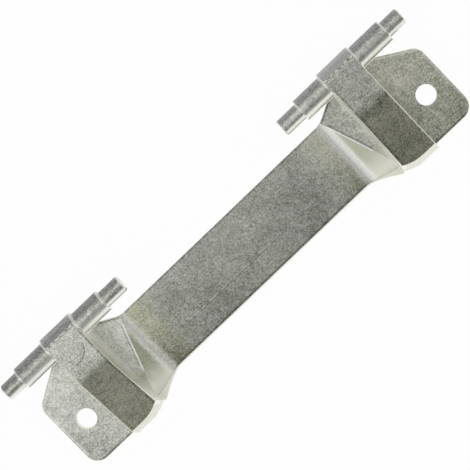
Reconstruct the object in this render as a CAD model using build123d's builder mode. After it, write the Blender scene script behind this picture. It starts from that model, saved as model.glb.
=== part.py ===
# Washing machine door hinge: one zinc die casting.
# A flat arm joins two screw plates. In front of each plate a gooseneck rises to a barrel
# that carries a stepped pin on both sides, and all four pins share one axis.
# X runs along the hinge, Y points up to the pin axis, Z points away from the machine.
# The origin lies midway between the screw holes, on the seat of the plates.
import os
from math import atan2, cos, radians, sin, tan

from build123d import *

# Screw plates
hole_spacing = 141.0
hole_diameter = 6.4
plate_thickness = 3.0
plate_end_margin = 8.1
plate_foot = -12.8
plate_head = 18.7
plate_shoulder = 67.2
plate_slant = 31.0
plate_head_inner = 47.6
plate_corner_radius = 4.5
plate_slant_radius = 4.0
plate_edge_radius = 0.5

# Arm between the plates, tilted back from them about its upper edge
arm_half_length = 41.8
arm_top = 15.5
arm_foot = -8.1
arm_thickness = 3.0
arm_tilt = 8.0
arm_tilt_axis = 16.2
throat_slope = 28.0
throat_radius = 8.0

# Web that climbs from the arm to each plate
web_slope = 22.0
web_bend_radius = 4.5

# Skirt below web and neck, with the web's lean at shares of the way from arm to neck
skirt_start = 37.5
skirt_end = 57.0
web_skirt_leans = ((0, 0), (0.2, 6), (0.4, 20), (0.55, 34), (0.7, 42), (0.85, 42), (1, 42))
neck_skirt_lean = 14.0
skirt_edge_radius = 1.0

# Gooseneck in front of each plate
neck_centre = 56.4
neck_width = 11.4
neck_face = 18.0
neck_knee = 9.5
neck_knee_radius = 8.0
neck_slope = 22.5
neck_foot = -14.2
neck_draft = 2.0
neck_edge_radius = 0.5
neck_wall = 2.8
neck_back_seat = 2.0
gusset_angle = 45.0

# Pins and the barrel that carries them
pin_axis_y = 22.6
barrel_diameter = 8.8
barrel_length = 12.0
shoulder_diameter = 7.2
shoulder_inner_reach = 16.2
shoulder_outer_reach = 17.5
tip_diameter = 5.3
tip_inner_reach = 23.7
tip_outer_reach = 24.0
pin_chamfer = 0.3

hole_x = hole_spacing / 2
plate_end = hole_x + plate_end_margin
plate_slant_foot = plate_head - (plate_end - plate_shoulder) * tan(radians(plate_slant))
throat_start = plate_head_inner - (plate_head - arm_top) / tan(radians(throat_slope))
neck_outer = neck_centre + neck_width / 2
neck_spread = neck_face * tan(radians(neck_draft))
barrel_radius = barrel_diameter / 2
pin_axis_z = neck_face - barrel_radius
metal_top = neck_face + arm_thickness
metal_bottom = -2 * arm_thickness
metal_foot = neck_foot - arm_thickness
metal_run = 2 * (pin_axis_y - metal_foot)
upright_limit = 0.001

# Plane across the arm: X along the hinge, Y out of the arm's face, normal down the arm
arm_section = Plane(
    origin=(0, arm_tilt_axis, plate_thickness),
    x_dir=(1, 0, 0),
    z_dir=(0, -cos(radians(arm_tilt)), -sin(radians(arm_tilt))),
)
arm_depth = arm_thickness / cos(radians(arm_tilt))
web_top = 2 * plate_thickness + arm_thickness
web_end = arm_half_length + web_top / tan(radians(web_slope))
web_back_start = arm_half_length + arm_thickness * tan(radians(web_slope / 2))

# Right half of arm and plate seen from the front, with metal to spare below the skirt
outline_rounds = (
    ((throat_start, arm_top), throat_radius),
    ((plate_end, plate_slant_foot), plate_slant_radius),
    ((plate_end, plate_foot), plate_corner_radius),
)
with BuildSketch() as outline:
    with BuildLine():
        Polyline(
            (0, arm_top),
            (throat_start, arm_top),
            (plate_head_inner, plate_head),
            (plate_shoulder, plate_head),
            (plate_end, plate_slant_foot),
            (plate_end, plate_foot),
            (skirt_end, plate_foot),
            (skirt_end, metal_foot),
            (skirt_start, metal_foot),
            (skirt_start, arm_foot),
            (0, arm_foot),
            close=True,
        )
    make_face()
    for corner, corner_radius in outline_rounds:
        fillet(outline.vertices().sort_by_distance(corner)[0], radius=corner_radius)

# Section of the metal of arm and web, and of the free space in front of it
with BuildSketch(arm_section) as web_metal:
    with BuildLine():
        Polyline(
            (0, 0),
            (arm_half_length, 0),
            (web_end, web_top),
            (web_end, web_top - arm_thickness / cos(radians(web_slope))),
            (web_back_start, -arm_thickness),
            (0, -arm_thickness),
            close=True,
        )
    make_face()
    fillet(web_metal.vertices().sort_by_distance((arm_half_length, 0))[0], radius=web_bend_radius)
    back_bend = web_metal.vertices().sort_by_distance((web_back_start, -arm_thickness))[0]
    fillet(back_bend, radius=web_bend_radius + arm_thickness)

with BuildSketch(arm_section) as web_clearance:
    with BuildLine():
        Polyline((0, 0), (arm_half_length, 0), (web_end, web_top), (0, web_top), close=True)
    make_face()
    fillet(web_clearance.vertices().sort_by_distance((arm_half_length, 0))[0], radius=web_bend_radius)


# Free space below a skirt that swings down from the arm to the neck and leans as told on its way
def space_below(leans):
    back_points = []
    face_points = []
    for share, lean in leans:
        x = skirt_start + share * (skirt_end - skirt_start)
        swing = min(share, 1) ** 2 * (3 - 2 * min(share, 1))
        y = arm_foot + (neck_foot - arm_foot) * swing
        arm_back = plate_thickness - (arm_tilt_axis - y) * tan(radians(arm_tilt)) - arm_depth
        back = min(0, arm_back + max(0, x - web_back_start) * tan(radians(web_slope)))
        back_points.append((x, y - (back - metal_bottom) * tan(radians(lean)), metal_bottom))
        face_points.append((x, y + (metal_top - back) * tan(radians(lean)), metal_top))
    level = ((1, 0, 0), (1, 0, 0))
    back_line = Spline(*back_points, tangents=level)
    face_line = Spline(*face_points, tangents=level)
    return Solid.extrude(Face.make_surface_from_curves(back_line, face_line), (0, 2 * metal_foot, 0))


neck_share = (neck_outer + neck_spread - skirt_start) / (skirt_end - skirt_start)
neck_skirt_leans = [(share, neck_skirt_lean) for share, lean in web_skirt_leans]
neck_skirt_leans.append((neck_share, neck_skirt_lean))

# Metal of arm and web, bounded by the outline and by the face of the plate, and by the seat under the neck
with BuildPart() as web:
    extrude(web_metal.sketch, amount=metal_run, both=True)
    extrude(outline.sketch, amount=web_top, both=True, mode=Mode.INTERSECT)
    split(bisect_by=Plane.XY.offset(plate_thickness), keep=Keep.BOTTOM)
    with BuildSketch():
        with Locations((neck_centre, 0)):
            Rectangle(neck_width + 2 * neck_spread, metal_run)
    extrude(amount=-web_top, mode=Mode.SUBTRACT)

# Arm, web and plate of the right half, with rounded front edges
with BuildPart() as plate:
    extrude(outline.sketch, amount=plate_thickness)
    extrude(web_clearance.sketch, amount=metal_run, both=True, mode=Mode.SUBTRACT)
    add(web.part)
    add(space_below(web_skirt_leans), mode=Mode.SUBTRACT)
    arm_edge = plate.edges().sort_by_distance((skirt_start / 2, arm_foot, plate_thickness))[0]
    fillet(arm_edge, radius=skirt_edge_radius)
    upright = plate.faces().filter_by(lambda face: abs(face.normal_at(face.center()).Z) < upright_limit)
    rims = upright.edges().filter_by(lambda edge: edge.center().Z > plate_thickness - plate_edge_radius)
    rims = rims.filter_by(lambda edge: edge.center().X > plate_head_inner)
    rims = rims.filter_by(lambda edge: edge.center().Y > 0 or edge.center().X > neck_outer)
    fillet(rims, radius=plate_edge_radius)
    with Locations((hole_x, 0, plate_thickness)):
        Hole(radius=hole_diameter / 2)

# Gooseneck: a strap face on drafted side walls, with a neck below the barrel
gusset_y = pin_axis_y + barrel_radius * sin(radians(gusset_angle))
gusset_z = pin_axis_z - barrel_radius * cos(radians(gusset_angle))
neck_print_length = 2 * (gusset_y - metal_foot)
with BuildPart() as neck:
    with BuildSketch(Plane.YZ.offset(neck_centre)) as side:
        with BuildLine():
            Polyline(
                (pin_axis_y, neck_face),
                (neck_knee, neck_face),
                (metal_foot, neck_face - (neck_knee - metal_foot) * tan(radians(neck_slope))),
                (metal_foot, 0),
                (plate_head, 0),
                (plate_head, neck_back_seat),
                (gusset_y, gusset_z),
                (pin_axis_y, pin_axis_z),
                close=True,
            )
        make_face()
        fillet(side.vertices().sort_by_distance((neck_knee, neck_face))[0], radius=neck_knee_radius)
        with Locations((pin_axis_y, pin_axis_z)):
            Circle(barrel_radius)
    extrude(amount=neck_width, both=True)
    with BuildSketch() as neck_print:
        with Locations((neck_centre, 0)):
            Rectangle(neck_width + 2 * neck_spread, neck_print_length)
    extrude(amount=neck_face, taper=neck_draft, mode=Mode.INTERSECT)
    add(space_below(neck_skirt_leans), mode=Mode.SUBTRACT)
    neck_rims = neck.edges().filter_by(Axis.X, reverse=True)
    fillet(neck_rims.filter_by(lambda edge: edge.center().Z > gusset_z / 2), radius=neck_edge_radius)

# Pocket in the back of the gooseneck, so that its walls stay even
gusset = atan2(gusset_z - neck_back_seat, gusset_y - plate_head)
pocket_head = plate_head - neck_wall / sin(gusset)
pocket_stop = pin_axis_y - barrel_radius
pocket_face = neck_face - neck_wall
pocket_foot = neck_foot + neck_wall
pocket_foot_face = neck_face - (neck_knee - pocket_foot) * tan(radians(neck_slope))
pocket_foot_face -= neck_wall / cos(radians(neck_slope))
with BuildPart() as pocket:
    with BuildSketch(Plane.YZ.offset(neck_centre)) as hollow:
        with BuildLine():
            Polyline(
                (pocket_foot, -arm_thickness),
                (pocket_foot, 0),
                (pocket_foot + pocket_foot_face * tan(radians(neck_skirt_lean)), pocket_foot_face),
                (neck_knee, pocket_face),
                (pocket_stop, pocket_face),
                (pocket_stop, neck_back_seat + (pocket_stop - pocket_head) * tan(gusset)),
                (pocket_head - (neck_back_seat + arm_thickness) / tan(gusset), -arm_thickness),
                close=True,
            )
        make_face()
    extrude(amount=neck_width, both=True)
    with BuildSketch(Plane.XY.offset(-arm_thickness)) as pocket_print:
        with Locations((neck_centre, 0)):
            Rectangle(neck_width - 2 * neck_wall + 2 * neck_spread, neck_print_length)
    extrude(amount=metal_top, taper=neck_draft, mode=Mode.INTERSECT)

# Stepped pins on both sides of the barrel
pin_steps = (
    (barrel_radius, barrel_length / 2, barrel_length / 2),
    (shoulder_diameter / 2, shoulder_inner_reach, shoulder_outer_reach),
    (tip_diameter / 2, tip_inner_reach, tip_outer_reach),
)
with BuildPart() as pins:
    for step_radius, inner_reach, outer_reach in pin_steps:
        with BuildSketch(Plane.YZ.offset(neck_centre - inner_reach)):
            with Locations((pin_axis_y, pin_axis_z)):
                Circle(step_radius)
        extrude(amount=inner_reach + outer_reach)
    pin_ends = pins.edges().filter_by(GeomType.CIRCLE).sort_by(Axis.X)
    chamfer([pin_ends[0], pin_ends[-1]], length=pin_chamfer)

with BuildPart() as hinge_casting:
    add(plate.part)
    add(neck.part)
    add(pocket.part, mode=Mode.SUBTRACT)
    add(pins.part)
    mirror(about=Plane.YZ)

os.makedirs("parts", exist_ok=True)
hinge_casting.part.label = "hinge_casting"
export_step(hinge_casting.part, "parts/hinge_casting.step")
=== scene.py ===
import math
import bmesh
import bpy
from mathutils import Matrix, Vector


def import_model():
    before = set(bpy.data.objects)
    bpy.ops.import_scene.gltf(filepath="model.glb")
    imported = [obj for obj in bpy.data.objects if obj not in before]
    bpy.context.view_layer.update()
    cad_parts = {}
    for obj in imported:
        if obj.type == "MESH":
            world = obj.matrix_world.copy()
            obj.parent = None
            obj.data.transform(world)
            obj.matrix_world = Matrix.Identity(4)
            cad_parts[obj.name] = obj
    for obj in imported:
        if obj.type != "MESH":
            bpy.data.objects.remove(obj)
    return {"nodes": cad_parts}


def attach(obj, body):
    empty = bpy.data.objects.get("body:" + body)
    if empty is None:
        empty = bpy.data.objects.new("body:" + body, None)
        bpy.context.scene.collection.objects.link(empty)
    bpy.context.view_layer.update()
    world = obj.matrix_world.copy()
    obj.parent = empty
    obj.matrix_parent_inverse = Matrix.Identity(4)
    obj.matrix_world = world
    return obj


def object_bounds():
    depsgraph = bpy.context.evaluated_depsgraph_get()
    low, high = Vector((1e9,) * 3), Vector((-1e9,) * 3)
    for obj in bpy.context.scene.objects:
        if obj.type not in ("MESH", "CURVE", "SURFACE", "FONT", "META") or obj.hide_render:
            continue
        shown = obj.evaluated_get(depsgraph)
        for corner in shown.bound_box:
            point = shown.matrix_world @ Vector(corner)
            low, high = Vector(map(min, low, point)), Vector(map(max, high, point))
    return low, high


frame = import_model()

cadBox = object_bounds()
scene = bpy.context.scene
millimetre = 0.001
casting = frame["nodes"]["hinge_casting"]
print("frame loaded", [round(side / millimetre, 1) for side in cadBox[1] - cadBox[0]])


class Wire:
    # one socket of a node tree; sums on it add Math nodes
    def __init__(self, tree, socket=None):
        self.tree = tree
        self.socket = socket

    def make(self, kind, settings, inputs, out=0):
        node = self.tree.nodes.new(kind)
        for name, value in settings.items():
            setattr(node, name, value)
        for name, value in inputs.items():
            if isinstance(value, Wire):
                self.tree.links.new(value.socket, node.inputs[name])
            else:
                node.inputs[name].default_value = value
        return Wire(self.tree, node.outputs[out] if node.outputs else None)

    def sum(self, operation, first, second):
        return self.make("ShaderNodeMath", {"operation": operation}, {0: first, 1: second})

    def __add__(self, other):
        return self.sum("ADD", self, other)

    def __radd__(self, other):
        return self.sum("ADD", other, self)

    def __sub__(self, other):
        return self.sum("SUBTRACT", self, other)

    def __rsub__(self, other):
        return self.sum("SUBTRACT", other, self)

    def __mul__(self, other):
        return self.sum("MULTIPLY", self, other)

    def __rmul__(self, other):
        return self.sum("MULTIPLY", other, self)

    def __pow__(self, other):
        return self.sum("POWER", self, other)

    def biggest(self, other):
        return self.sum("MAXIMUM", self, other)

    def size(self):
        return self.sum("ABSOLUTE", self, 0)

    def ease(self, start, end):
        # 0 at start, 1 at end, smooth between
        settings = {"interpolation_type": "SMOOTHSTEP"}
        return self.make("ShaderNodeMapRange", settings, {"Value": self, "From Min": start, "From Max": end})


def emptyTree(owner):
    owner.use_nodes = True
    owner.node_tree.nodes.clear()
    return Wire(owner.node_tree)


# Cast zinc: grainy skin on the faces that look forward, smoother webs, drag-marked walls in a light cream that is a
# painted reflection of the white ground; painted highlights and painted shade over the skin
# Places are in mm; a pair is where a finish starts and where it is full; tones are shares from dark to light
zinc = {
    "skin": (0.78, 0.785, 0.745, 1),
    "skinDark": (0.20, 0.205, 0.18, 1),
    "warmSkin": (0.78, 0.785, 0.61, 1),
    "warmDark": (0.20, 0.205, 0.145, 1),
    # webs: the left one painted darker as painted shade
    "web": (0.52, 0.53, 0.43, 1),
    "shadedWeb": (0.46, 0.475, 0.36, 1),
    "shadedWebDark": (0.30, 0.31, 0.22, 1),
    # drawn walls: light cream as a painted reflection of the white ground, over drag marks
    "drawnSheen": (0.86, 0.855, 0.745, 1),
    "drawnSheenDark": (0.74, 0.735, 0.645, 1),
    # painted highlight colour, used on the bends, edges, pin steps, under the pins and on the inner walls
    "paintedHighlight": (0.97, 0.965, 0.92, 1),
    # half of each pin and barrel beyond the parting line: painted shade
    "rearHalf": (0.52, 0.525, 0.505, 1),
    "rearDark": (0.19, 0.195, 0.185, 1),
    "grain": {"perMm": 1.9, "detail": 4.0, "rough": 0.7},
    "mottle": {"perMm": 0.55, "detail": 2.0, "rough": 0.5},
    "blotch": {"perMm": 0.1, "detail": 2.0, "rough": 0.5},
    "drawMarks": {"perMm": (1.6, 1.6, 0.12), "detail": 4.0, "rough": 0.6, "spread": (0.25, 0.6), "grainShare": 0.2},
    "skinTone": {"grain": 0.64, "mottle": 0.2, "blotch": 0.16, "grainSpread": (0.33, 0.67), "wideSpread": (0.3, 0.7)},
    "roughness": {"plain": 0.32, "grain": 0.2, "rearHalf": 0.08, "wall": 0.06, "webFoot": 0.25, "bend": -0.08},
    "relief": {"strength": 0.5, "height": 0.00005, "drawMarks": 0.3, "scratch": 0.8, "ring": 0.1},
    "facing": (0.72, 0.88),
    "middle": (-1.0, 1.0),
    "pinAxis": (22.6, 13.6),
    "pinReach": (3.9, 4.2),
    "pinStart": (5.8, 6.0),
    "pinRims": (-23.7, -16.2, -6.0, 6.0, 17.5, 24.0),
    "rimReach": (4.5, 5.0),
    "barrelEnd": (5.4, 5.8),
    "partingAngle": 17.0,
    "rearStart": (-0.2, 0.8),
    "rearFoot": (18.8, 20.0),
    "neckMiddle": 56.4,
    "strapEdge": (5.7, 6.0),
    "strapFront": (12.0, 13.0),
    "strapBack": (7.0, 9.0),
    "creaseTop": (42.6, 13.8),
    "creaseFoot": (50.2, -8.1),
    "creaseBlend": (0.0, 0.3),
    "creaseFades": (-2.5, 0.5),
    # painted highlight band along each bend of the arm
    "bend": {"across": (38.8, 44.0), "soft": 1.8, "share": 0.42, "right": 0.22, "grain": 0.42},
    "webAcross": {"start": (40.5, 42.0), "end": (50.0, 50.4)},
    "webFade": {"height": (-9.0, 3.0), "mottle": 3.0},
    "webFoot": {"across": (40.0, 50.4), "soft": 1.0, "height": (-9.5, -6.5)},
    "innerWall": {"across": (49.0, 51.6), "soft": 0.4, "front": (3.0, 13.0), "frontSoft": 0.5},
    # painted light and shade on the skin: lighter high up and beside the webs, darker low on the arm ends and plates
    "height": {"range": (-14.0, 18.0), "tone": 0.14},
    "shoulder": {"across": (42.0, 50.4), "soft": 0.6, "tone": 0.2, "right": -0.06},
    "armEnd": {
        "start": (28.0, 39.0), "end": (42.0, 43.0), "height": (-6.0, 10.0),
        "shadeBelow": 0.35, "tone": 0.45, "right": 0.16,
    },
    "armHollow": {"across": 20.0, "half": 3.0, "soft": 9.0, "height": (5.0, 12.0), "tone": 0.1},
    "plate": {
        "across": (62.0, 64.0), "height": (-12.0, 14.0),
        "shadeBelow": 0.45, "tone": 0.04, "right": 0.16, "left": 0.04,
    },
    # painted light and shade on the straps and pins
    "strapFoot": {"height": (-8.0, 6.0), "tone": 0.12},
    "strapKnee": {"height": 11.0, "half": 0.5, "soft": 3.0, "tone": 0.12},
    "strapHead": {"height": (11.0, 14.0), "tone": 0.1},
    "leftPinTone": 0.18,
    "kneeShade": {"height": (7.0, 12.4), "soft": 1.6, "tone": 0.28},
    # painted shadow lines along the edges of arm, throat, plates and straps
    "armTopEdge": {"height": 15.3, "half": 0.1, "soft": 0.4, "end": (40.5, 41.5), "tone": 0.3},
    "armFootEdge": {"height": -7.3, "half": 0.15, "soft": 0.45, "end": (38.0, 40.0), "tone": 0.3},
    "throatEdge": {
        "start": (41.6, 15.5), "angle": 28.0, "inside": 0.3, "half": 0.2, "soft": 0.4,
        "across": (40.5, 50.2), "fade": 0.8, "tone": 0.5,
    },
    "plateFootEdge": {"height": -12.3, "half": 0.15, "soft": 0.35, "start": (62.2, 62.8), "tone": 0.36},
    "strapInnerEdge": {
        "inside": 5.2, "half": 0.15, "soft": 0.45, "front": (8.6, 9.4), "top": (20.5, 22.0), "tone": 0.3,
    },
    # painted highlight along each crease, with a painted shadow line on its plate side
    "creaseGlintAndShade": {
        "height": (-1.8, 14.0), "fade": 1.2, "across": (42.0, 49.6), "acrossFade": 0.8,
        "light": {"place": 0.1, "half": 0.06, "soft": 0.24, "share": 0.8},
        "dull": {"place": -0.45, "half": 0.1, "soft": 0.3, "tone": 0.3},
    },
    "slantGlint": {
        "end": (78.6, 11.9), "angle": 31.0, "inside": 0.75, "half": 0.1, "soft": 0.3, "share": 0.25, "right": 0.3,
    },
    "plateEndGlint": {"across": 77.9, "half": 0.08, "soft": 0.25, "height": (-9.0, 11.0), "fade": 2.0, "share": 0.35},
    "rimGlint": {"half": 0.12, "soft": 0.43, "share": 0.75},
    # painted reflection of the white ground on the lower side of each pin
    "underPin": {"below": (-2.4, -1.4), "share": 0.8, "right": -0.5},
    "rearTone": {"grain": 0.8, "mottle": 0.2, "rightBarrel": 0.45, "leftPins": -0.16},
    "scratch": {
        "centre": (-57.69, 19.45), "radius": 5.12, "half": 0.06, "soft": 0.14, "waver": 0.5,
        "left": (-59.2, -58.4), "top": (17.4, 18.2), "tone": 0.6,
    },
    "ejectorMark": {"centre": (56.0, 9.3), "disc": (1.4, 2.0), "ring": 2.6, "rim": 0.7, "tone": 0.2, "ringTone": 0.08},
    "armScuff": {
        "height": 0.0, "waver": 0.5, "half": 0.04, "soft": 0.16, "lower": 0.35,
        "end": (25.0, 33.0), "broken": (0.38, 0.52), "light": 0.3, "dull": 0.22,
    },
    "warmth": {
        "all": 0.2, "strap": 0.7, "strapHeight": (6.0, 13.0), "rightPlate": 0.4,
        "armEnd": 0.9, "rightArmEnd": -0.4, "belowPins": (18.0, 19.0),
    },
}


def castZinc():
    material = bpy.data.materials.new("castZinc")
    tree = emptyTree(material)
    place = tree.make("ShaderNodeTexCoord", {}, {}, "Object")
    normal = tree.make("ShaderNodeTexCoord", {}, {}, "Normal")
    inMm = tree.make("ShaderNodeVectorMath", {"operation": "SCALE"}, {0: place, "Scale": 1 / millimetre})
    x, y, z = [tree.make("ShaderNodeSeparateXYZ", {}, {0: inMm}, axis) for axis in "XYZ"]
    facing = tree.make("ShaderNodeSeparateXYZ", {}, {0: normal}, "Z")
    across = x.size()
    fromNeck = (across - zinc["neckMiddle"]).size()

    def blend(share, first, second):
        return tree.make("ShaderNodeMix", {"data_type": "RGBA"}, {0: share, 6: first, 7: second}, 2)

    def noise(where, scale, kind):
        inputs = {"Vector": where, "Scale": scale, "Detail": kind["detail"], "Roughness": kind["rough"]}
        return tree.make("ShaderNodeTexNoise", {}, inputs)

    def line(gap, kind):
        return 1 - gap.size().ease(kind["half"], kind["half"] + kind["soft"])

    def between(value, ends, soft):
        return value.ease(ends[0], ends[0] + soft) * (1 - value.ease(ends[1] - soft, ends[1]))

    def before(value, ends):
        return 1 - value.ease(*ends)

    def distance(centre):
        return ((x - centre[0]) ** 2 + (y - centre[1]) ** 2) ** 0.5

    # fine grain, mottle and wide blotches of the cast skin
    skinTone = zinc["skinTone"]
    grain, mottle, blotch = [noise(inMm, zinc[name]["perMm"], zinc[name]) for name in ("grain", "mottle", "blotch")]
    speckle = grain.ease(*skinTone["grainSpread"])

    # where each face is
    right = x.ease(*zinc["middle"])
    left = 1 - right
    forward = facing.ease(*zinc["facing"])
    top, foot = Vector(zinc["creaseTop"]), Vector(zinc["creaseFoot"])
    down = (foot - top).normalized()
    webSide = (across - top.x) * down.y - (y - top.y) * down.x
    inWeb = webSide.ease(*zinc["creaseBlend"]).biggest(before(y, zinc["creaseFades"]))
    bendBand = zinc["bend"]
    bend = between(across, bendBand["across"], bendBand["soft"]) * inWeb * forward
    web = across.ease(*zinc["webAcross"]["start"]) * before(across, zinc["webAcross"]["end"]) * inWeb * forward
    skin = forward * (1 - web)
    inFront = z.ease(*zinc["strapFront"])
    strap = before(fromNeck, zinc["strapEdge"]) * z.ease(*zinc["strapBack"])
    pinY, pinZ = zinc["pinAxis"]
    fromPin = ((y - pinY) ** 2 + (z - pinZ) ** 2) ** 0.5
    onPin = before(fromPin, zinc["pinReach"]) * fromNeck.ease(*zinc["pinStart"])
    onBarrel = before(fromNeck, zinc["barrelEnd"])
    lean = math.radians(zinc["partingAngle"])
    above = (y - pinY) * math.cos(lean) - (z - pinZ) * math.sin(lean)
    rearHalf = above.ease(*zinc["rearStart"]) * y.ease(*zinc["rearFoot"])

    # how light the skin is: grain, mottle and blotches; a darker band across each arm 20 mm out; and painted light and
    # shade: brighter high up, painted light on the plates beside the webs, painted shade low on the arm ends and
    # plates, with the right arm end and the left plate lighter
    depth = speckle * skinTone["grain"] + mottle.ease(*skinTone["wideSpread"]) * skinTone["mottle"]
    depth = depth + blotch.ease(*skinTone["wideSpread"]) * skinTone["blotch"]
    depth = depth + (y.ease(*zinc["height"]["range"]) - 0.5) * zinc["height"]["tone"]
    shoulderLight = zinc["shoulder"]
    shoulder = between(across, shoulderLight["across"], shoulderLight["soft"]) * (1 - inWeb)
    depth = depth + shoulder * (shoulderLight["tone"] + right * shoulderLight["right"])
    end = zinc["armEnd"]
    armEnd = across.ease(*end["start"]) * before(across, end["end"])
    depth = depth + armEnd * ((y.ease(*end["height"]) - end["shadeBelow"]) * end["tone"] + (right - 0.5) * end["right"])
    hollow = zinc["armHollow"]
    depth = depth - line(across - hollow["across"], hollow) * before(y, hollow["height"]) * hollow["tone"]
    flat = zinc["plate"]
    plate = across.ease(*flat["across"])
    plateTone = (y.ease(*flat["height"]) - flat["shadeBelow"]) * (right * flat["right"] + flat["tone"])
    depth = depth + plate * (plateTone + left * flat["left"])
    # painted light and shade on the straps and pins: left strap lighter at its foot and darker along its knee, right
    # strap darker at its knee and head, left pins darker
    strapFoot, strapKnee, strapHead = zinc["strapFoot"], zinc["strapKnee"], zinc["strapHead"]
    leftStrap = before(y, strapFoot["height"]) * strapFoot["tone"]
    leftStrap = leftStrap - line(y - strapKnee["height"], strapKnee) * strapKnee["tone"]
    depth = depth + strap * left * leftStrap - strap * right * y.ease(*strapHead["height"]) * strapHead["tone"]
    kneeShadeBand = zinc["kneeShade"]
    depth = depth - right * strap * between(y, kneeShadeBand["height"], kneeShadeBand["soft"]) * kneeShadeBand["tone"]
    depth = depth - onPin * left * zinc["leftPinTone"]

    # painted shadow lines along the edges of arm, throat, plates and straps
    for name in ("armTopEdge", "armFootEdge"):
        edge = zinc[name]
        depth = depth - line(y - edge["height"], edge) * before(across, edge["end"]) * edge["tone"]
    edge = zinc["throatEdge"]
    rise = math.radians(edge["angle"])
    overThroat = (y - edge["start"][1]) * math.cos(rise) - (across - edge["start"][0]) * math.sin(rise)
    onThroat = between(across, edge["across"], edge["fade"])
    depth = depth - line(overThroat + edge["inside"], edge) * onThroat * edge["tone"]
    edge = zinc["plateFootEdge"]
    depth = depth - line(y - edge["height"], edge) * across.ease(*edge["start"]) * edge["tone"]
    edge = zinc["strapInnerEdge"]
    onInnerEdge = z.ease(*edge["front"]) * before(y, edge["top"])
    depth = depth - line(across - zinc["neckMiddle"] + edge["inside"], edge) * onInnerEdge * edge["tone"]

    # painted highlights: a bright line along each crease with a painted shadow line beside it, lines along the slanted
    # and outer plate edges and on the steps of the pins; a painted reflection under each pin
    glintLine = zinc["creaseGlintAndShade"]
    onCrease = between(y, glintLine["height"], glintLine["fade"]) * between(across, glintLine["across"], glintLine["acrossFade"]) * forward
    light, dull = glintLine["light"], glintLine["dull"]
    paintedGlints = line(webSide - light["place"], light) * onCrease * light["share"]
    # painted shadow line on the plate side of each crease
    depth = depth - line(webSide - dull["place"], dull) * onCrease * dull["tone"]
    glintLine = zinc["slantGlint"]
    slope = math.radians(glintLine["angle"])
    pastSlant = (y - glintLine["end"][1]) * math.cos(slope) + (across - glintLine["end"][0]) * math.sin(slope)
    paintedGlints = paintedGlints + line(pastSlant + glintLine["inside"], glintLine) * plate * (right * glintLine["right"] + glintLine["share"])
    glintLine = zinc["plateEndGlint"]
    paintedGlints = paintedGlints + line(across - glintLine["across"], glintLine) * between(y, glintLine["height"], glintLine["fade"]) * glintLine["share"]
    rims = 0
    for rim in zinc["pinRims"]:
        rims = line(across - zinc["neckMiddle"] - rim, zinc["rimGlint"]) + rims
    rims = rims * before(fromPin, zinc["rimReach"])
    # painted reflection of the white ground on the lower side of each pin
    below = zinc["underPin"]
    underPin = onPin * before(above, below["below"])

    # a curved scratch on one strap, the ejector's round mark on the other, a long scuff on the arm
    cut = zinc["scratch"]
    scratch = line(distance(cut["centre"]) - cut["radius"] + (grain - 0.5) * cut["waver"], cut)
    scratch = scratch * x.ease(*cut["left"]) * before(y, cut["top"]) * inFront
    mark = zinc["ejectorMark"]
    fromMark = distance(mark["centre"])
    disc = before(fromMark, mark["disc"]) * inFront
    ring = before((fromMark - mark["ring"]).size(), (0.0, mark["rim"])) * inFront
    rub = zinc["armScuff"]
    fromScuff = y - rub["height"] + (mottle - 0.5) * rub["waver"]
    onArm = before(across, rub["end"]) * mottle.ease(*rub["broken"])
    scuff = (line(fromScuff, rub) * rub["light"] - line(fromScuff + rub["lower"], rub) * rub["dull"]) * onArm
    depth = depth + disc * mark["tone"] - ring * mark["ringTone"] - scratch * cut["tone"] + scuff

    # the die drew fine marks down the walls; the walls' light cream is a painted reflection of the white ground
    marks = zinc["drawMarks"]
    along = tree.make("ShaderNodeVectorMath", {"operation": "MULTIPLY"}, {0: inMm, 1: marks["perMm"]})
    drag = noise(along, 1.0, marks)
    wallShare = drag.ease(*marks["spread"]) * (1 - marks["grainShare"]) + grain * marks["grainShare"]
    wall = blend(wallShare, zinc["drawnSheenDark"], zinc["drawnSheen"])
    # painted highlight on the inner wall of each neck, where it faces sideways
    inner = zinc["innerWall"]
    innerWall = between(across, inner["across"], inner["soft"]) * between(z, inner["front"], inner["frontSoft"])
    wall = blend(innerWall * (1 - forward), wall, zinc["paintedHighlight"])

    # colours, one finish over the other, with painted highlights, painted reflection and painted shade laid over them
    tint = zinc["warmth"]
    warmth = strap * before(y, tint["strapHeight"]) * tint["strap"] + plate * right * tint["rightPlate"]
    warmth = warmth + armEnd * (tint["armEnd"] + right * tint["rightArmEnd"])
    warmth = warmth * before(y, tint["belowPins"]) + tint["all"]
    plainSkin = blend(depth, zinc["skinDark"], zinc["skin"])
    skinColour = blend(warmth, plainSkin, blend(depth, zinc["warmDark"], zinc["warmSkin"]))
    # the left web is painted darker than the right as painted shade, and each web fades low down into the walls' cream
    # as a painted reflection of the white ground
    webColour = blend(right, blend(speckle, zinc["shadedWebDark"], zinc["shadedWeb"]), zinc["web"])
    webHeight = y + mottle * zinc["webFade"]["mottle"]
    webColour = blend(webHeight.ease(*zinc["webFade"]["height"]), zinc["drawnSheen"], webColour)
    colour = blend(skin, blend(web, wall, webColour), skinColour)
    # painted highlight along each bend of the arm, brighter on the right
    bendShare = bend * (bendBand["share"] + right * bendBand["right"] + speckle * bendBand["grain"])
    colour = blend(bendShare + paintedGlints, colour, zinc["paintedHighlight"])
    # painted shade on the half of each pin and barrel beyond the parting line; the right barrel is painted lighter and
    # the left pins darker
    rear = zinc["rearTone"]
    rearShare = speckle * rear["grain"] + mottle * rear["mottle"]
    rearShare = rearShare + onBarrel * right * rear["rightBarrel"] + onPin * left * rear["leftPins"]
    colour = blend(rearHalf, colour, blend(rearShare, zinc["rearDark"], zinc["rearHalf"]))
    rimShare = rims * zinc["rimGlint"]["share"] + underPin * (below["share"] + right * below["right"])
    colour = blend(rimShare, colour, zinc["paintedHighlight"])

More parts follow.
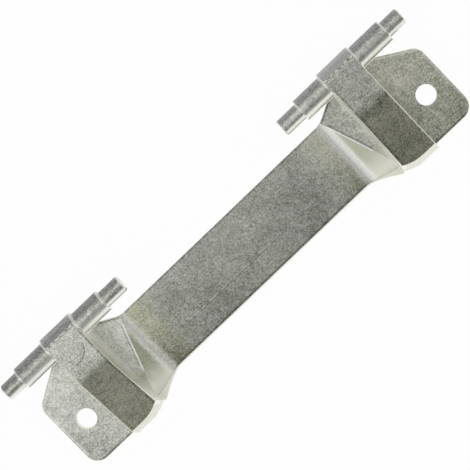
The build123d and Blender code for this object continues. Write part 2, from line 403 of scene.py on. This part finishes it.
    # roughness and relief
    rough, relief = zinc["roughness"], zinc["relief"]
    webEnd = zinc["webFoot"]
    webFoot = between(across, webEnd["across"], webEnd["soft"]) * before(y, webEnd["height"])
    roughness = rough["plain"] + (grain - 0.5) * skin * rough["grain"] + rearHalf * rough["rearHalf"]
    roughness = roughness + (1 - forward) * rough["wall"] + webFoot * rough["webFoot"] + bend * right * rough["bend"]
    height = grain * (skin + rearHalf) + drag * (1 - forward) * relief["drawMarks"]
    height = height - scratch * relief["scratch"] - ring * relief["ring"]
    bump = tree.make("ShaderNodeBump", {}, {
        "Strength": relief["strength"], "Distance": relief["height"], "Height": height,
    })
    shader = tree.make("ShaderNodeBsdfPrincipled", {}, {
        "Base Color": colour, "Metallic": 1.0, "Roughness": roughness, "Normal": bump,
    })
    tree.make("ShaderNodeOutputMaterial", {}, {"Surface": shader})
    return material


zincMaterial = castZinc()
casting.data.materials.clear()
casting.data.materials.append(zincMaterial)
print("casting finished in cast zinc")


# Parting flash: a low ragged fin over each barrel, where the two die halves met (sizes in mm)
flash = {
    "pinAxis": (22.6, 13.6),
    "upFromFront": 17.0,
    "neckMiddle": 56.4,
    "width": 0.8,
    "crest": 0.45,
    "sunk": 0.35,
    "cutsPerMm": 3,
    "ragged": 0.16,
    "tearScale": 1100.0,
    "tearSpread": (0.4, 0.56),
    "roughness": 0.5,
    "tearGloss": 0.3,
    "smoothUnder": 40.0,
    "bright": (0.93, 0.925, 0.88, 1),
    "dull": (0.26, 0.265, 0.255, 1),
    "barrel": {"start": -5.8, "end": 5.8, "radius": 4.4, "proud": 0.14},
    "seed": 20,
    "seedStep": 10,
}


def flashZinc():
    material = bpy.data.materials.new("flashZinc")
    tree = emptyTree(material)
    place = tree.make("ShaderNodeTexCoord", {}, {}, "Object")
    tear = tree.make("ShaderNodeTexNoise", {}, {"Vector": place, "Scale": flash["tearScale"], "Detail": 2.0})
    share = tear.ease(*flash["tearSpread"])
    colour = tree.make("ShaderNodeMix", {"data_type": "RGBA"}, {0: share, 6: flash["dull"], 7: flash["bright"]}, 2)
    shader = tree.make("ShaderNodeBsdfPrincipled", {}, {
        "Base Color": colour, "Metallic": 1.0, "Roughness": flash["roughness"] - tear * flash["tearGloss"],
    })
    tree.make("ShaderNodeOutputMaterial", {}, {"Surface": shader})
    return material


def ragFin(start, end, radius, proud, side, seed):
    tall = flash["sunk"] + proud
    sizes = Vector((end - start, flash["width"], tall)) * millimetre
    bpy.ops.object.select_all(action="DESELECT")
    bpy.ops.mesh.primitive_cube_add(size=1, scale=sizes)
    fin = bpy.context.object
    bpy.ops.object.transform_apply(location=True, rotation=True, scale=True)
    bpy.ops.object.mode_set(mode="EDIT")
    bpy.ops.mesh.select_all(action="DESELECT")
    bpy.ops.mesh.select_mode(type="EDGE")
    mesh = bmesh.from_edit_mesh(fin.data)
    for edge in mesh.edges:
        edge.select_set(abs(edge.verts[0].co.x - edge.verts[1].co.x) > sizes.x / 2)
    bmesh.update_edit_mesh(fin.data)
    bpy.ops.mesh.subdivide(number_cuts=int((end - start) * flash["cutsPerMm"]))
    bpy.ops.mesh.select_mode(type="VERT")
    bpy.ops.mesh.select_all(action="DESELECT")
    mesh = bmesh.from_edit_mesh(fin.data)
    for vertex in mesh.verts:
        vertex.select_set(vertex.co.z > 0)
    mesh.select_flush_mode()
    bmesh.update_edit_mesh(fin.data)
    bpy.ops.transform.resize(value=(1, flash["crest"], 1), center_override=(0, 0, 0))
    bpy.ops.transform.vertex_random(offset=flash["ragged"] * millimetre, uniform=0, normal=0, seed=seed)
    bpy.ops.object.mode_set(mode="OBJECT")
    up = math.radians(flash["upFromFront"])
    out = radius + proud - tall / 2
    pinY, pinZ = flash["pinAxis"]
    middle = side * (flash["neckMiddle"] + (start + end) / 2)
    fin.location = Vector((middle, pinY + out * math.sin(up), pinZ + out * math.cos(up))) * millimetre
    fin.rotation_euler = (-up, 0, 0)
    bpy.ops.object.transform_apply(location=True, rotation=True, scale=True)
    return fin


flashMaterial = flashZinc()
for sideName, side in (("Left", -1), ("Right", 1)):
    flashPiece = ragFin(**flash["barrel"], side=side, seed=flash["seed"] + flash["seedStep"] * side)
    flashPiece.name = "partingFlash" + sideName
    bpy.ops.object.shade_smooth_by_angle(angle=math.radians(flash["smoothUnder"]))
    flashPiece.data.materials.append(flashMaterial)
    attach(flashPiece, "root")
print("parting flash on both barrels")


# White ground that the hinge lies on; a share of it takes light, so the shadow stays
ground = {
    "across": 4.0,
    "under": 0.00002,
    "white": (1, 1, 1, 1),
    "shownWhite": 0.96,
}


def layGround():
    bpy.ops.object.select_all(action="DESELECT")
    level = cadBox[0].z - ground["under"]
    bpy.ops.mesh.primitive_plane_add(size=ground["across"], location=(0, 0, level))
    floor = bpy.context.object
    floor.name = "ground"
    bpy.ops.object.transform_apply(location=True, rotation=True, scale=True)
    material = bpy.data.materials.new("groundWhite")
    tree = emptyTree(material)
    camera = tree.make("ShaderNodeLightPath", {}, {}, "Is Camera Ray")
    glossy = tree.make("ShaderNodeLightPath", {}, {}, "Is Glossy Ray")
    through = tree.make("ShaderNodeLightPath", {}, {}, "Is Transmission Ray")
    shown = camera.biggest(glossy).biggest(through) * ground["shownWhite"]
    lit = tree.make("ShaderNodeBsdfDiffuse", {}, {"Color": ground["white"]})
    glow = tree.make("ShaderNodeEmission", {}, {"Color": ground["white"], "Strength": 1.0})
    both = tree.make("ShaderNodeMixShader", {}, {0: shown, 1: lit, 2: glow})
    tree.make("ShaderNodeOutputMaterial", {}, {"Surface": both})
    floor.data.materials.append(material)


layGround()
print("ground laid")


# Soft light all round, as in a light tent: three rings of panels, dim in front, and a few brighter cards
tent = {
    "panels": 8,
    "frontAzimuth": 270,
    "rings": {
        "low": {"height": 15, "tightness": 10, "bright": 0.65, "front": 0.4},
        "middle": {"height": 45, "tightness": 22, "bright": 0.55, "front": 0.0},
        "high": {"height": 70, "tightness": 60, "bright": 0.55, "front": 0.3},
    },
    "cards": {
        "overhead": {"azimuth": 0, "height": 90, "tightness": 60, "bright": 0.25},
        "leftHigh": {"azimuth": 180, "height": 70, "tightness": 60, "bright": 1.2},
        "rearLeftHigh": {"azimuth": 135, "height": 70, "tightness": 60, "bright": 0.45},
        "left": {"azimuth": 180, "height": 45, "tightness": 22, "bright": 0.5},
        "right": {"azimuth": 0, "height": 45, "tightness": 22, "bright": 0.4},
        "frontFoot": {"azimuth": 270, "height": 4, "tightness": 40, "bright": 1.3},
    },
}


def pitchTent():
    world = bpy.data.worlds.new("lightTent")
    scene.world = world
    tree = emptyTree(world)
    direction = tree.make("ShaderNodeTexCoord", {}, {}, "Generated")
    camera = tree.make("ShaderNodeLightPath", {}, {}, "Is Camera Ray")

    def patch(azimuth, height, tightness, bright):
        turn, rise = math.radians(azimuth), math.radians(height)
        axis = Vector((math.cos(turn) * math.cos(rise), math.sin(turn) * math.cos(rise), math.sin(rise)))
        toward = tree.make("ShaderNodeVectorMath", {"operation": "DOT_PRODUCT"}, {0: direction, 1: axis}, "Value")
        return toward.biggest(0) ** tightness * bright

    strength = 0
    for card in tent["cards"].values():
        strength = patch(**card) + strength
    for ring in tent["rings"].values():
        for panel in range(tent["panels"]):
            azimuth = panel * 360 / tent["panels"]
            bright = ring["front"] if azimuth == tent["frontAzimuth"] else ring["bright"]
            strength = patch(azimuth, ring["height"], ring["tightness"], bright) + strength
    strength = camera + (1 - camera) * strength
    sky = tree.make("ShaderNodeBackground", {}, {"Color": (1, 1, 1, 1), "Strength": strength})
    tree.make("ShaderNodeOutputWorld", {}, {"Surface": sky})


pitchTent()
print("light tent up")


# The camera looks almost straight down on the hinge, with its long side rising to the right (degrees, mm)
eye = {
    "turns": (2.6, -3.82, 0.81),
    "shift": (-0.13, -9.03, -560.0),
    "roll": 43.0,
    "lens": 142.29,
    "sensor": 36.0,
    "clipStart": 0.01,
}


def placeCamera():
    turns = Vector([math.radians(angle) for angle in eye["turns"]])
    spin = Matrix.Rotation(turns.length, 4, turns.normalized())
    shift = Matrix.Translation(Vector(eye["shift"]) * millimetre)
    roll = Matrix.Rotation(math.radians(eye["roll"]), 4, "Z")
    bpy.ops.object.camera_add()
    camera = bpy.context.object
    camera.name = "photoCamera"
    camera.matrix_world = (roll @ shift @ spin).inverted()
    camera.data.sensor_width = eye["sensor"]
    camera.data.lens = eye["lens"]
    camera.data.clip_start = eye["clipStart"]
    scene.camera = camera


placeCamera()
scene.view_settings.view_transform = "Standard"
print("camera placed")
